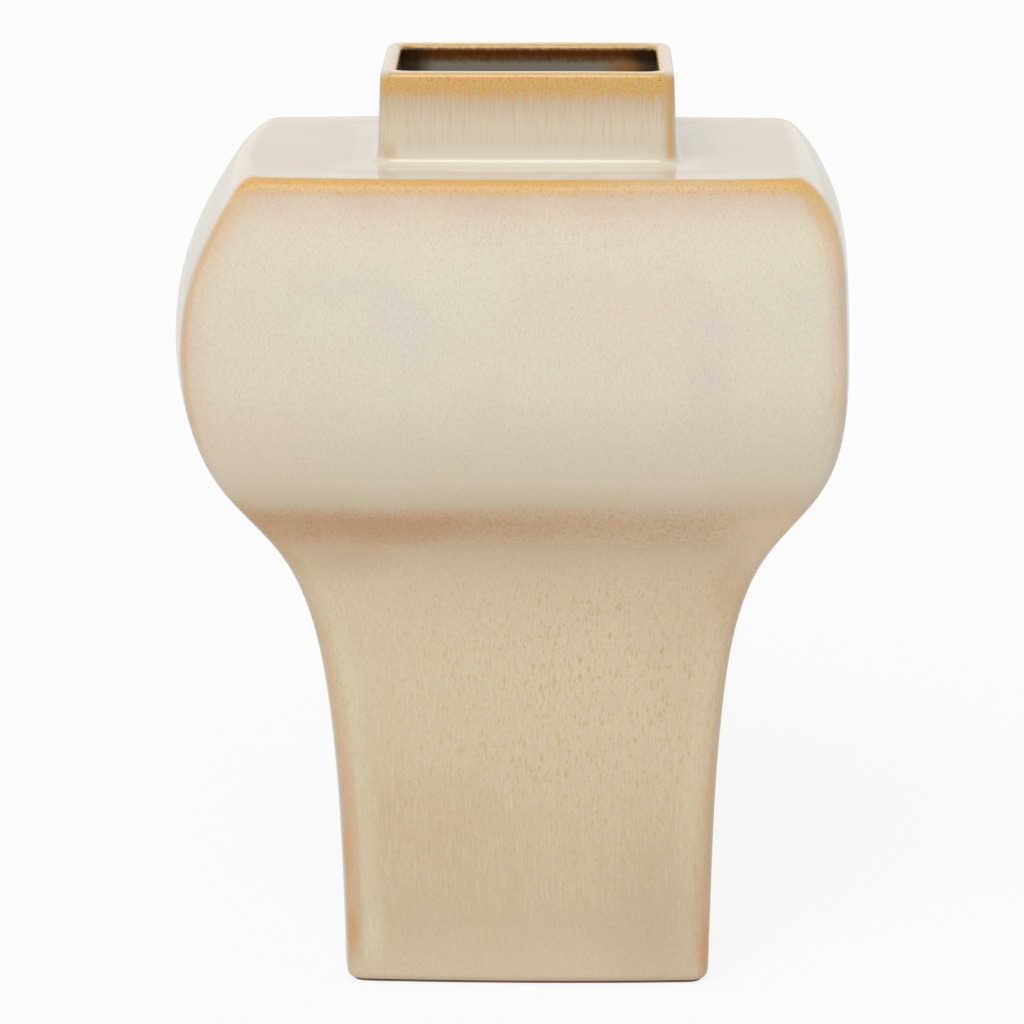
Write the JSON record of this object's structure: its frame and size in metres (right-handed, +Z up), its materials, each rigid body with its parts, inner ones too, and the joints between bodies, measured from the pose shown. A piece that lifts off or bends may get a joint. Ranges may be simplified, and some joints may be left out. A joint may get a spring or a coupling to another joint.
{
  "type": "pillow vase",
  "caption": "Slab-built pillow vase in glazed stoneware: a slim rectangular stem swells into a bulged upper body with a flat shoulder and a short rectangular neck.",
  "frame": {"origin": "centre of the foot, on the face that the vase stands on", "axes": "+Z up from the foot to the rim, the wide front faces -Y, +X to the right of the front"},
  "size_m": [0.2357, 0.1374, 0.3305],
  "materials": {
    "cream_glaze": "glossy",
    "bare_clay": "matte"
  },
  "bodies": {
    "root": {"base_slab": "bare_clay", "front_panel": "cream_glaze", "back_panel": "cream_glaze", "left_side_panel": "cream_glaze", "right_side_panel": "cream_glaze", "shoulder_plate": "cream_glaze", "neck_front_wall": "cream_glaze", "neck_back_wall": "cream_glaze", "neck_left_wall": "cream_glaze", "neck_right_wall": "cream_glaze", "neck_coil": "cream_glaze"}
  },
  "joints": []
}
